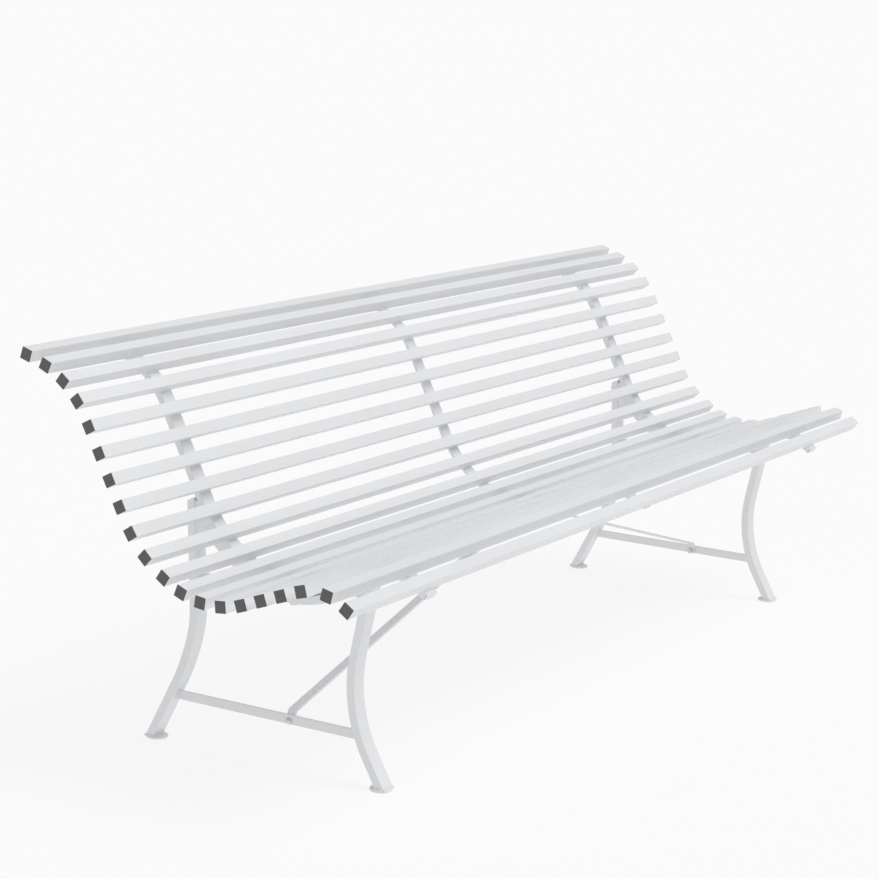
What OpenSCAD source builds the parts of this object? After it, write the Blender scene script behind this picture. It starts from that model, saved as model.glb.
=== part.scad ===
// Garden bench of square steel slats on three bent rails, standing on two tube frames.
// Millimetres, +Z up, -Y towards the sitter's knees, X along the slats.
// Origin: on the ground, under the middle of the overall box.

/* [Slats] */
// Length of the bench along the slats
bench_len = 2000; // [1700:50:2400]
// Side of the square slat tube
slat_size = 20; // [18:0.5:22]
// Wall of the slat tube
slat_wall = 1.5; // [1:0.1:2.5]
// Spacing of the slats round the top roll, along the curve
top_pitch = 41.53; // [40:0.01:44]
// Spacing of the slats down the back and round the hip, along the curve
back_pitch = 45.45; // [44:0.01:47]
// Spacing of the slats across the seat, along the curve
seat_pitch = 39.32; // [38:0.01:41]
// Wider spacing on the front nose of the seat
nose_pitch = 47.78; // [45:0.01:50]
// Spacing of the last two slats
lip_pitch = 40.16; // [38:0.01:42]
// Thickness of a slat's end cap
cap_t = 1; // [0.5:0.5:3]

/* [Profile] */
// Height of the top slat's centre above the ground
top_z = 679.75; // [660:0.05:700]
// Slope of the top slat
top_slope = 17.1; // [14:0.1:20]
// Straight stretch at the top of the profile
top_flat = 22; // [15:1:30]
// Radius of the top roll
top_r = 172; // [160:1:185]
// Angle turned by the top roll
top_turn = 45.1; // [42:0.1:48]
// Straight stretch of the back
back_flat = 175.5; // [165:0.5:185]
// Radius of the bend between back and hip
hip_r = 187; // [175:1:200]
// Angle turned between back and hip
hip_turn = 28.8; // [26:0.1:32]
// Short straight stretch at the hip
hip_flat = 18.9; // [10:0.1:30]
// Radius of the seat hollow
seat_r = 167; // [155:1:180]
// Angle turned by the seat hollow
seat_turn = 53.8; // [51:0.1:57]
// Straight rise of the seat towards its front
seat_flat = 107.5; // [100:0.5:115]
// Radius of the front nose
nose_r = 95; // [88:1:105]
// Angle turned by the front nose
nose_turn = 53.9; // [50:0.1:58]

/* [Rails] */
// Width of the three rails, along X
rail_w = 30; // [25:1:35]
// Thickness of the tubular end rails
rail_t = 12; // [11:0.5:13]
// Thickness of the flat centre rail
centre_t = 5; // [4:0.5:6]
// Distance from a slat end to the outer side of an end rail
rail_inset = 219; // [180:1:260]
// Length of rail past the centre of the last slat at the front
rail_tail = 18; // [12:1:22]
// Length of the centre rail past the centre of the last slat
centre_tail = 4; // [2:1:12]
// Wall of the rail and frame tubes
tube_wall = 1.5; // [1:0.1:2]

/* [End frames] */
// Thickness of the leg tube, seen from the bench's end
leg_t = 15; // [13:0.5:16]
// Height at which a rear leg's centre line starts
rear_top_z = 430; // [425:1:431]
// Place of the rear leg's top, behind the seat's lowest point
rear_top_y = 206; // [203:0.5:207]
// Backward lean of the rear leg's upright
rear_lean = 2.8; // [2:0.1:3.5]
// Angle at which a rear leg meets the ground, from upright
rear_splay = 27; // [24:0.5:29]
// Forward lean of the upper part of a front leg
front_lean = 11; // [9:0.5:13]
// Place of the front leg's waist, in front of the seat's lowest point
front_waist_y = 120.5; // [118:0.5:124]
// Height of the front leg's waist
waist_z = 174; // [165:1:182]
// Radius of the front leg's bend
front_r = 240; // [225:1:255]
// Angle at which a front leg meets the ground, from upright
front_splay = 30.5; // [28:0.5:32]
// Gap between the rails and the frames, filled by spacers
stand_off = 4.5; // [3:0.5:6]
// Distance along the slat line at which the seat bearer meets the front leg
bearer_reach = 680.5; // [677:0.5:684]
// Height of the stretcher's lower edge
stretcher_z = 76; // [60:1:100]
// Height of the stretcher bar
stretcher_h = 16; // [14:1:20]
// Thickness of the stretcher bar
stretcher_t = 5; // [4:0.5:6]
// Diameter of a foot disc
foot_d = 38; // [34:1:40]
// Thickness of a foot disc
foot_t = 4; // [3:0.5:6]
// Distance of a foot disc's centre from the leg's centre line at the ground
foot_in = 8; // [5:1:10]

/* [Braces] */
// Width of a brace bar
brace_w = 16; // [14:1:20]
// Thickness of a brace bar
brace_t = 5; // [4:0.5:5]
// Height at which the line of a brace's slope meets its lower tab
brace_corner_z = 96.5; // [94:0.5:110]
// Distance of the braces behind the seat's lowest point
brace_back = 5; // [0:1:5]
// Inner radius of the bends in a brace
brace_r = 7; // [5:1:7]

/* [Hidden] */
// Angle step of the bends
bend_step = 3;
// Names of the slats from the top of the back to the front of the seat
slat_count = 20;
slat_names = [for (i = [1 : slat_count]) str("slat_", i < 10 ? "0" : "", i)];
sides = ["left", "right"];

steel = [0.9, 0.91, 0.92];
plastic = [0.27, 0.27, 0.28];
zinc = [0.72, 0.73, 0.74];

// Bolt sizes: shank radius, head across corners, head height
bolt_r = 4;
bolt_head_d = 15;
bolt_head_h = 5.3;
bolt_clear = 0.25;
small_r = 3;
small_head_d = 12;
small_head_h = 4;
nut_h = 5;
spacer_d = 18;
block_w = 26;
block_h = 63;
block_strip = 14;
plug_len = 12;
plug_lip = 1.5;
cap_plug_len = 14;
fit_gap = 0.15;

function rad(a) = a * PI / 180;

// Arc length of a bend
function arc_len(r, turn) = r * rad(turn);

// A pose is [y, z, slope]: travel runs towards -Y and down by the slope.
// Pose after a run of length d that turns by the given angle
function go(p, d, turn) =
    abs(turn) < 0.001
    ? [p[0] - d * cos(p[2]), p[1] - d * sin(p[2]), p[2]]
    : let (r = d / rad(turn), a = p[2] + turn)
      [p[0] - r * (sin(a) - sin(p[2])), p[1] - r * (cos(p[2]) - cos(a)), a];

// Pose at distance s along a path of [length, turn] runs
function pose(path, p, s, k = 0) =
    k >= len(path) - 1 || s <= path[k][0]
    ? go(p, s, path[k][1] * s / path[k][0])
    : pose(path, go(p, path[k][0], path[k][1]), s - path[k][0], k + 1);

// Sum of the first n lengths of a path
function run_len(path, n) = n <= 0 ? 0 : path[n - 1][0] + run_len(path, n - 1);

// Distances along a path at which an outline needs a point
function knots(path) = [
    for (k = [0 : len(path) - 1])
        let (n = abs(path[k][1]) < 0.001 ? 1 : ceil(abs(path[k][1]) / bend_step))
            for (i = [0 : n - 1]) run_len(path, k) + path[k][0] * i / n
];

// Point beside a pose: positive offsets go behind and below the slat line
function beside(p, off) = [p[0] + sin(p[2]) * off, p[1] - cos(p[2]) * off];

// Outline of a band between two offsets from a path, from s0 to s1
function band(path, p, s0, s1, near, far) =
    let (ks = concat([s0], [for (s = knots(path)) if (s > s0 + 0.5 && s < s1 - 0.5) s], [s1]))
    concat(
        [for (s = ks) beside(pose(path, p, s), near)],
        [for (i = [len(ks) - 1 : -1 : 0]) beside(pose(path, p, ks[i]), far)]
    );

// The slat line
slat_path = [
    [top_flat, 0],
    [arc_len(top_r, top_turn), top_turn],
    [back_flat, 0],
    [arc_len(hip_r, hip_turn), -hip_turn],
    [hip_flat, 0],
    [arc_len(seat_r, seat_turn), -seat_turn],
    [seat_flat, 0],
    [arc_len(nose_r, nose_turn), nose_turn],
    [60, 0]
];

// Distance of slat i (0 is the top one) along the slat line
function slat_s(i) =
    i <= 3 ? i * top_pitch
    : i <= 10 ? slat_s(3) + (i - 3) * back_pitch
    : i <= 17 ? slat_s(10) + (i - 10) * seat_pitch
    : i == 18 ? slat_s(17) + nose_pitch
    : slat_s(18) + lip_pitch;

// Half the space that a turned slat takes along Y
function slat_reach(slope) = slat_size / 2 * (cos(slope) + abs(sin(slope)));

// The line is first laid out from y = 0, then moved so that the bench is centred
raw_start = [0, top_z, top_slope];
raw_last = pose(slat_path, raw_start, slat_s(slat_count - 1));
back_y = slat_reach(top_slope);
front_y = raw_last[0] - slat_reach(raw_last[2]);
start = [-(back_y + front_y) / 2, top_z, top_slope];

// Lowest point of the seat, where the slat line is level
low_s = run_len(slat_path, 5) + arc_len(seat_r, top_slope + top_turn - hip_turn);
low = pose(slat_path, start, low_s);

half_len = bench_len / 2;
rail_x = half_len - rail_inset - rail_w / 2;
rail_near = slat_size / 2;
rail_far = rail_near + rail_t;
rail_end_s = slat_s(slat_count - 1) + rail_tail;
bearer_near = rail_far + stand_off;
bearer_far = bearer_near + leg_t;

// Rear leg centre line, from its top down
rear_start = [low[0] + rear_top_y, rear_top_z + 10, 90 - rear_lean];
rear_turn = (rear_lean + rear_splay) / 2;
rear_path = [
    [196, 0],
    [arc_len(180, rear_turn), rear_turn],
    [arc_len(384, rear_turn), rear_turn],
    [160, 0]
];

// Front leg centre line, from its top down
front_bend_l = arc_len(front_r, front_lean + front_splay);
front_upper = 190;
front_start = [
    low[0] - front_waist_y - front_r * (1 - cos(front_lean)) - front_upper * sin(front_lean),
    waist_z + front_r * sin(front_lean) + front_upper * cos(front_lean),
    90 + front_lean
];
front_path = [[front_upper, 0], [front_bend_l, -(front_lean + front_splay)], [160, 0]];

// Distance along a leg's path at which its centre line reaches a height, by halving
function leg_s(path, p, z, a = 0, b = 520, n = 24) =
    n == 0 ? (a + b) / 2
    : pose(path, p, (a + b) / 2)[1] > z
      ? leg_s(path, p, z, (a + b) / 2, b, n - 1)
      : leg_s(path, p, z, a, (a + b) / 2, n - 1);

rear_ground = pose(rear_path, rear_start, leg_s(rear_path, rear_start, 0));
front_ground = pose(front_path, front_start, leg_s(front_path, front_start, 0));
rear_foot_y = rear_ground[0] - foot_in;
front_foot_y = front_ground[0] + foot_in;

// Places along the slat line of the bolts between rails and bearers
seat_bolt_s = [slat_s(13) - seat_pitch / 2, slat_s(16) - seat_pitch / 2];
// Slope of the rail at the rear leg's top
top_cut = pose(slat_path, start, slat_s(7) + back_pitch * 0.3)[2];
// Bolt between the rear leg's top and the block on the rail
back_bolt_z = rear_top_z - 15;
back_bolt = pose(rear_path, rear_start, leg_s(rear_path, rear_start, back_bolt_z));

stretcher_x = rail_x;
// Legs' centre lines at mid height of the stretcher
stretcher_mid = stretcher_z + stretcher_h / 2;
stretcher_back = pose(rear_path, rear_start, leg_s(rear_path, rear_start, stretcher_mid))[0];
stretcher_front = pose(front_path, front_start, leg_s(front_path, front_start, stretcher_mid))[0];
brace_out_x = stretcher_x - stretcher_t / 2 - brace_t / 2;
brace_bend = brace_r + brace_t / 2;
centre_under = low[1] - slat_size / 2 - centre_t;
brace_y = low[0] + brace_back;
block_end_s = slat_s(10) + 4;
brace_bolt_z = stretcher_mid - 2.5;
centre_end_s = slat_s(slat_count - 1) + centre_tail;

function sign_of(side) = side == "left" ? -1 : 1;

// Extrudes an outline drawn in the YZ plane to a width along X, centred on x
module across(x, w) {
    translate([x - w / 2, 0, 0])
        rotate([90, 0, 90])
            linear_extrude(w)
                children();
}

// Moves children to a pose of the slat line: local +Z points away from the rails
module at_pose(p, x) {
    translate([x, p[0], p[1]])
        rotate([p[2], 0, 0])
            children();
}

module slat(i) {
    color(steel)
        at_pose(pose(slat_path, start, slat_s(i)), 0)
            rotate([90, 0, 90])
                linear_extrude(bench_len - 2 * cap_t, center = true)
                    difference() {
                        square(slat_size, center = true);
                        square(slat_size - 2 * slat_wall, center = true);
                    }
}

// One end cap: a flush plate and a plug inside the tube
module slat_cap() {
    plug = slat_size - 2 * slat_wall - 2 * fit_gap;
    translate([-cap_t / 2, 0, 0])
        cube([cap_t, slat_size, slat_size], center = true);
    translate([-cap_t - cap_plug_len / 2, 0, 0])
        cube([cap_plug_len, plug, plug], center = true);
}

module slat_caps(side) {
    color(plastic)
        for (i = [0 : slat_count - 1])
            at_pose(pose(slat_path, start, slat_s(i)), sign_of(side) * half_len)
                mirror([side == "left" ? 1 : 0, 0, 0])
                    slat_cap();
}

// Threaded hole or clearance hole drilled along a pose's normal
module normal_hole(p, x, r) {
    at_pose(p, x)
        translate([0, 0, -80])
            cylinder(h = 80, r = r, $fn = 32);
}

// Tubular end rail with its open ends and the holes for the rivet nuts
module end_rail(side) {
    x = sign_of(side) * rail_x;
    color(steel)
        difference() {
            across(x, rail_w)
                polygon(band(slat_path, start, 0, rail_end_s, rail_near, rail_far));
            across(x, rail_w - 2 * tube_wall)
                polygon(band(slat_path, start, -1, rail_end_s + 1, rail_near + tube_wall, rail_far - tube_wall));
            for (s = seat_bolt_s)
                at_pose(pose(slat_path, start, s), x)
                    translate([0, 0, -rail_far - 1])
                        cylinder(h = 1 + tube_wall + 0.5, r = 5.5, $fn = 32);
        }
}

// Flat centre rail
module rail_centre() {
    color(steel)
        difference() {
            across(0, rail_w)
                polygon(band(slat_path, start, 0, centre_end_s, rail_near, rail_near + centre_t));
            translate([0, brace_y, low[1] - 30])
                cylinder(h = 30, r = small_r + bolt_clear, $fn = 32);
        }
}

// Plugs in the four open ends of the end rails
module rail_plugs() {
    w = rail_w - 2 * tube_wall - 2 * fit_gap;
    t = rail_t - 2 * tube_wall - 2 * fit_gap;
    mid = (rail_near + rail_far) / 2;
    color(steel)
        for (side = sides, s = [0, rail_end_s])
            at_pose(pose(slat_path, start, s), sign_of(side) * rail_x)
                translate([0, 0, -mid])
                    mirror([0, s == 0 ? 0 : 1, 0]) {
                        translate([0, -plug_len / 2, 0])
                            cube([w, plug_len, t], center = true);
                        translate([0, plug_lip / 2, 0])
                            cube([rail_w, plug_lip, rail_t], center = true);
                    }
}

// Hole along a back bolt, through the upright and the block
module back_hole(x, r) {
    at_pose(back_bolt, x)
        translate([0, 0, -40])
            cylinder(h = 80, r = r, $fn = 32);
}

module leg_outer(path, p, x, from_s, to_s) {
    across(x, rail_w)
        polygon(band(path, p, from_s, to_s, -leg_t / 2, leg_t / 2));
}

module leg_inner(path, p, x, from_s, to_s) {
    across(x, rail_w - 2 * tube_wall)
        polygon(band(path, p, from_s, to_s, -leg_t / 2 + tube_wall, leg_t / 2 - tube_wall));
}

// Everything below the top of the foot discs
module under_feet() {
    translate([-half_len, -600, -400 + foot_t])
        cube([bench_len, 1200, 400]);
}

// Everything above a rear leg's top, or above the given depth under it
module above_rear_leg(x, depth) {
    translate([x, rear_start[0], rear_top_z])
        rotate([-(90 - top_cut), 0, 0])
            translate([-25, -40, -depth])
                cube([50, 80, 60]);
}

// Bent rear leg: its closed top is cut square to the rail, its foot level
module rear_leg(side) {
    x = sign_of(side) * rail_x;
    color(steel)
        difference() {
            leg_outer(rear_path, rear_start, x, -10, 470);
            difference() {
                leg_inner(rear_path, rear_start, x, -12, 472);
                above_rear_leg(x, tube_wall);
            }
            under_feet();
            above_rear_leg(x, 0);
            back_hole(x, bolt_r + bolt_clear);
        }
}

// Bent front leg: its top is cut along the rail's underside, its foot level
module front_leg(side) {
    x = sign_of(side) * rail_x;
    color(steel)
        difference() {
            leg_outer(front_path, front_start, x, -10, 480);
            leg_inner(front_path, front_start, x, -12, 482);
            under_feet();
            at_pose(pose(slat_path, start, bearer_reach), x)
                translate([-25, -60, -rail_far])
                    cube([50, 120, 80]);
        }
}

// Seat bearer: level behind the seat's lowest point, then parallel to the seat
module bearer_band(x, w, inset, lead, tail) {
    back_end = low[0] + rear_top_y - 6 + lead;
    front = band(slat_path, start, low_s, bearer_reach + tail, bearer_near + inset, bearer_far - inset);
    across(x, w)
        polygon(concat(
            [[back_end, low[1] - bearer_near - inset]],
            front,
            [[back_end, low[1] - bearer_far + inset]]
        ));
}

module seat_bearer(side) {
    x = sign_of(side) * rail_x;
    color(steel)
        difference() {
            bearer_band(x, rail_w, 0, 0, 0);
            bearer_band(x, rail_w - 2 * tube_wall, tube_wall, 2, 2);
            leg_outer(rear_path, rear_start, x, 40, 300);
            leg_outer(front_path, front_start, x, 0, 200);
            for (s = seat_bolt_s)
                normal_hole(pose(slat_path, start, s), x, bolt_r + bolt_clear);
        }
}

// Flat bar between the two legs of a frame, centred on their width
module stretcher(side) {
    x = sign_of(side) * stretcher_x;
    color(steel)
        difference() {
            translate([x - stretcher_t / 2, stretcher_front, stretcher_z])
                cube([stretcher_t, stretcher_back - stretcher_front, stretcher_h]);
            leg_outer(rear_path, rear_start, sign_of(side) * rail_x, 250, 460);
            leg_outer(front_path, front_start, sign_of(side) * rail_x, 250, 460);
            translate([x - 10, brace_y, brace_bolt_z])
                rotate([0, 90, 0])
                    cylinder(h = 20, r = small_r + bolt_clear, $fn = 32);
        }
}

module foot_disc(side, y) {
    color(steel)
        translate([sign_of(side) * rail_x, y, 0])
            cylinder(h = foot_t, d = foot_d, $fn = 48);
}

// Spacer rings between the bearers and the rails
module seat_spacers() {
    color(steel)
        for (side = sides, s = seat_bolt_s)
            at_pose(pose(slat_path, start, s), sign_of(side) * rail_x)
                translate([0, 0, -bearer_near])
                    difference() {
                        cylinder(h = stand_off, d = spacer_d, $fn = 40);
                        translate([0, 0, -1])
                            cylinder(h = stand_off + 2, r = bolt_r + bolt_clear, $fn = 32);
                    }
}

// Outline of a block before it is fitted: a wedge with a strip that runs on down the rail
module back_block_blank(x) {
    translate([x, back_bolt[0], rear_top_z - 2 - block_h / 2])
        cube([block_w, 120, block_h], center = true);
    across(x, block_w)
        polygon(band(slat_path, start, slat_s(8), block_end_s, 0, rail_far + block_strip));
}

// Tapped wedge blocks on the sloping rails, in front of the rear legs' upright tops
module back_blocks() {
    color(steel)
        for (side = sides)
            difference() {
                back_block_blank(sign_of(side) * rail_x);
                across(sign_of(side) * rail_x, rail_w)
                    polygon(band(slat_path, start, slat_s(5), slat_s(11), -60, rail_far));
                leg_outer(rear_path, rear_start, sign_of(side) * rail_x, -20, 100);
                behind_upright(sign_of(side) * rail_x);
                back_hole(sign_of(side) * rail_x, bolt_r + fit_gap);
            }
}

// Everything behind the upright's middle
module behind_upright(x) {
    at_pose(rear_start, x)
        translate([-30, -180, -90])
            cube([60, 230, 90]);
}

// Hexagon-headed bolt: head below the origin, shank up along +Z
module bolt(r, head_d, head_h, shank) {
    translate([0, 0, -head_h])
        cylinder(h = head_h, d = head_d, $fn = 6);
    cylinder(h = shank, r = r, $fn = 32);
}

// Bolts from under the bearers, through the spacers, into the rails
module seat_bolts() {
    color(zinc)
        for (side = sides, s = seat_bolt_s)
            at_pose(pose(slat_path, start, s), sign_of(side) * rail_x)
                translate([0, 0, -bearer_far])
                    bolt(bolt_r, bolt_head_d, bolt_head_h, bearer_far - rail_near - tube_wall - 1);
}

// Bolts from behind the rear legs' tops into the tapped blocks
module back_bolts() {
    color(zinc)
        for (side = sides)
            at_pose(back_bolt, sign_of(side) * rail_x)
                translate([0, 0, -leg_t / 2])
                    bolt(bolt_r, bolt_head_d, bolt_head_h, leg_t + 6);
}

// Threaded rivet nuts set in the back of the end rails
module rivet_nuts() {
    color(zinc)
        for (side = sides, s = seat_bolt_s)
            at_pose(pose(slat_path, start, s), sign_of(side) * rail_x)
                translate([0, 0, -rail_far])
                    difference() {
                        cylinder(h = rail_t - tube_wall - 1.5, r = 5.5 - fit_gap, $fn = 32);
                        translate([0, 0, -1])
                            cylinder(h = rail_t, r = bolt_r + fit_gap, $fn = 32);
                    }
}

// Brace centre line in the XZ plane, from the middle of the bench outwards and down
function brace_pts(drop, near, far) =
    let (
        lead = 16,
        top = centre_under - brace_t / 2 - drop,
        brace_slope = atan((top - brace_corner_z) / (brace_out_x - lead)),
        slope_run = (brace_out_x - lead - brace_bend) / cos(brace_slope),
        path = [
            [lead, 0],
            [arc_len(brace_bend, brace_slope), brace_slope],
            [slope_run, 0],
            [arc_len(brace_bend, 90 - brace_slope), 90 - brace_slope],
            [200, 0]
        ],
        p = [0, top, 0],
        end_s = leg_s(path, p, stretcher_z + 0.5, 0, run_len(path, 5), 24)
    )
    band(path, p, -15, end_s, near, far);

// Bent flat brace from a stretcher up to the centre rail; drop lowers its inner end
module brace(side, drop) {
    color(steel)
        difference() {
            translate([0, brace_y, 0])
                mirror([side == "left" ? 0 : 1, 0, 0])
                    rotate([90, 0, 0])
                        linear_extrude(brace_w, center = true)
                            polygon(brace_pts(drop, -brace_t / 2, brace_t / 2));
            translate([0, brace_y, centre_under - 40])
                cylinder(h = 50, r = small_r + bolt_clear, $fn = 32);
            translate([sign_of(side) * brace_out_x - 10, brace_y, brace_bolt_z])
                rotate([0, 90, 0])
                    cylinder(h = 20, r = small_r + bolt_clear, $fn = 32);
        }
}

// Round-headed bolt: head below the origin, shank up along +Z
module round_bolt(r, head_d, head_h, shank) {
    translate([0, 0, -head_h])
        cylinder(h = head_h, d1 = head_d * 0.6, d2 = head_d, $fn = 40);
    cylinder(h = shank, r = r, $fn = 32);
}

// Bolts and nuts that hold the braces to the stretchers
module stretcher_bolts() {
    color(zinc)
        for (side = sides)
            translate([sign_of(side) * (stretcher_x + stretcher_t / 2), brace_y, brace_bolt_z])
                rotate([0, -90 * sign_of(side), 0])
                    round_bolt(small_r, small_head_d, small_head_h, stretcher_t + brace_t + nut_h + 2);
}

module nut(r, d, h) {
    difference() {
        cylinder(h = h, d = d, $fn = 6);
        translate([0, 0, -1])
            cylinder(h = h + 2, r = r + fit_gap, $fn = 32);
    }
}

module stretcher_nuts() {
    color(zinc)
        for (side = sides)
            translate([sign_of(side) * (brace_out_x - brace_t / 2), brace_y, brace_bolt_z])
                rotate([0, -90 * sign_of(side), 0])
                    nut(small_r, small_head_d, nut_h);
}

// Bolt and nut that hold both braces under the centre rail
centre_bolt_len = centre_t + 2 * brace_t + nut_h + 2;
module centre_bolt() {
    color(zinc)
        translate([0, brace_y, centre_under + centre_t + 0.2])
            mirror([0, 0, 1])
                round_bolt(small_r, small_head_d, small_head_h, centre_bolt_len);
}

module centre_nut() {
    color(zinc)
        translate([0, brace_y, centre_under - 2 * brace_t - nut_h])
            nut(small_r, small_head_d, nut_h);
}

for (i = [0 : slat_count - 1]) slat(i);
for (side = sides) slat_caps(side);
for (side = sides) end_rail(side);
rail_centre();
rail_plugs();
for (side = sides) rear_leg(side);
for (side = sides) front_leg(side);
for (side = sides) seat_bearer(side);
for (side = sides) stretcher(side);
for (side = sides)
    foot_disc(side, rear_foot_y);
for (side = sides)
    foot_disc(side, front_foot_y);
seat_spacers();
back_blocks();
seat_bolts();
back_bolts();
rivet_nuts();
brace("left", brace_t);  // brace_left
brace("right", 0);  // brace_right
stretcher_bolts();
stretcher_nuts();
centre_bolt();
centre_nut();
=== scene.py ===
"""Looks of a white slatted garden bench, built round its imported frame.

Everything is in metres, in the frame's own axes: X runs along the slats, +Y points to the
back of the bench and +Z up. The origin is on the ground, below the middle of the bench.
"""

import logging
import math
from dataclasses import dataclass, field
from enum import Enum
from typing import Iterator, NamedTuple, Optional, Sequence

import bmesh
import bpy
from mathutils import Matrix, Vector


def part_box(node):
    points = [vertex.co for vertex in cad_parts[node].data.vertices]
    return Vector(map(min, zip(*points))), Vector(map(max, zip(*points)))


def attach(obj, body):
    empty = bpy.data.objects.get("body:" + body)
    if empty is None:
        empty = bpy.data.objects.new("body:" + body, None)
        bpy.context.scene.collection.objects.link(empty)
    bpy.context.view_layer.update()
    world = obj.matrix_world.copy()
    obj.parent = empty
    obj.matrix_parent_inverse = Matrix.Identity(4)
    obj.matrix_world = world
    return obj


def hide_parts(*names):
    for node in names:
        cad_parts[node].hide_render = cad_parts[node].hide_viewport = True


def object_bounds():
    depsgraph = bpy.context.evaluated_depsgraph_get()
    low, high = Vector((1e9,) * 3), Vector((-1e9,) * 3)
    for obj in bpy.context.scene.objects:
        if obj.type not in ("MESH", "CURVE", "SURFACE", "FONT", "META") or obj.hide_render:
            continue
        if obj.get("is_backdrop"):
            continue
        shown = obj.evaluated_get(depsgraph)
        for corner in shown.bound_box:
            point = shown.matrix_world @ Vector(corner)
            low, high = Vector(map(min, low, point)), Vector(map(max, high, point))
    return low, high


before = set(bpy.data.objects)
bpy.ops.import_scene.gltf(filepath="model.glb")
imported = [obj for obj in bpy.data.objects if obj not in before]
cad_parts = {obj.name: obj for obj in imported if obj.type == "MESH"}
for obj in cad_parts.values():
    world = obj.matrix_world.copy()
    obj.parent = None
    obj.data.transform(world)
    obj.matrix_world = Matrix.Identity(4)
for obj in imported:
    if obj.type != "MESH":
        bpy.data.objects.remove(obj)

log = logging.getLogger("bench")
MM = 0.001
BODY = "root"
BOX_TOLERANCE = 2.5 * MM
AXIS = 0.1 * MM
HEX_STEPS = 8
BEAD_SIDES = 8
SHARP_ANGLE = math.radians(38)
BEVEL_ANGLE = math.radians(40)


class Side(Enum):
    """The two ends of the bench, as signs of X."""

    LEFT = -1
    RIGHT = 1

    @property
    def word(self) -> str:
        """The side's name as the frame's nodes spell it."""
        return self.name.lower()


class DrawingPlane(Enum):
    """The upright plane in which a bent bar is drawn."""

    END = "seen from the bench's end"
    FRONT = "seen from the bench's front"


class Slot(Enum):
    """The record's material slots."""

    COATED_STEEL = "coated_steel"
    CAP_PLASTIC = "cap_plastic"
    ZINC_STEEL = "zinc_steel"
    BOLT_STEEL = "bolt_steel"


# --- Bent lines ---


class Place(NamedTuple):
    """A point of a bent line and the way the line runs there.

    The line travels towards smaller u, and down by the slope.
    """

    u: float
    w: float
    slope: float

    @property
    def spot(self) -> Vector:
        """The place as a point of the bench's end plane, at X 0."""
        return Vector((0, self.u, self.w))

    @property
    def backward(self) -> Vector:
        """The way back up the line."""
        return Vector((0, math.cos(self.slope), math.sin(self.slope)))

    @property
    def above(self) -> Vector:
        """The way square to the line, to its front and upper side."""
        return Vector((0, -math.sin(self.slope), math.cos(self.slope)))

    def shifted(self, off: float) -> "Place":
        """Gives the place at a distance beside the line.

        Args:
            off: Distance behind and below the line; negative is in front and above.

        Returns:
            The shifted place, with the same slope.
        """
        return Place(self.u + math.sin(self.slope) * off, self.w - math.cos(self.slope) * off, self.slope)

    def onward(self, length: float, turn: float) -> "Place":
        """Follows a straight or an arc from here.

        Args:
            length: Length of the run.
            turn: Change of slope over the run, in radians.

        Returns:
            The place at the end of the run.
        """
        if abs(turn) < 1e-6:
            u = self.u - length * math.cos(self.slope)
            return Place(u, self.w - length * math.sin(self.slope), self.slope)
        radius = length / turn
        after = self.slope + turn
        return Place(
            self.u - radius * (math.sin(after) - math.sin(self.slope)),
            self.w - radius * (math.cos(self.slope) - math.cos(after)),
            after,
        )


@dataclass(frozen=True)
class Run:
    """One straight or arc of a bent line."""

    length: float
    turn: float = 0.0

    @staticmethod
    def arc(radius: float, degrees: float) -> "Run":
        """Makes an arc from its radius and the signed angle that it turns, in degrees."""
        return Run(abs(radius * math.radians(degrees)), math.radians(degrees))


@dataclass(frozen=True)
class BentLine:
    """A chain of straights and arcs in one upright plane."""

    start: Place
    runs: tuple[Run, ...]

    def at(self, distance: float) -> Place:
        """Gives the place at a distance along the line; the end runs go on past their ends."""
        place = self.start
        left = distance
        for run in self.runs[:-1]:
            if left <= run.length:
                return place.onward(left, run.turn * left / run.length)
            place = place.onward(run.length, run.turn)
            left -= run.length
        last = self.runs[-1]
        return place.onward(left, last.turn * left / last.length)

    def distances(self, begin: float, end: float, step: float = math.radians(1.5)) -> list[float]:
        """Lists the distances at which a swept tube needs a ring.

        Args:
            begin: First distance.
            end: Last distance.
            step: Largest change of slope between rings, in radians.

        Returns:
            Rising distances, closer together in the bends.
        """
        marks = [begin]
        base = 0.0
        for run in self.runs:
            count = 1 if abs(run.turn) < 1e-6 else math.ceil(abs(run.turn) / step)
            marks += [base + run.length * i / count for i in range(count)]
            base += run.length
        inner = sorted(m for m in marks if begin + 0.3 * MM < m < end - 0.3 * MM)
        return [begin, *inner, end]

    def reach(self, height: float, far: float = 0.52) -> float:
        """Finds the distance at which a falling line comes down to a height.

        Args:
            height: The height looked for.
            far: A distance past the answer.

        Returns:
            The distance, found by halving.
        """
        low, high = 0.0, far
        for _ in range(40):
            middle = (low + high) / 2
            if self.at(middle).w > height:
                low = middle
            else:
                high = middle
        return (low + high) / 2

    def beside(self, height: float, off: float = 0.0) -> Place:
        """Gives the place at a height, moved beside the line by a distance."""
        return self.at(self.reach(height)).shifted(off)


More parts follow.
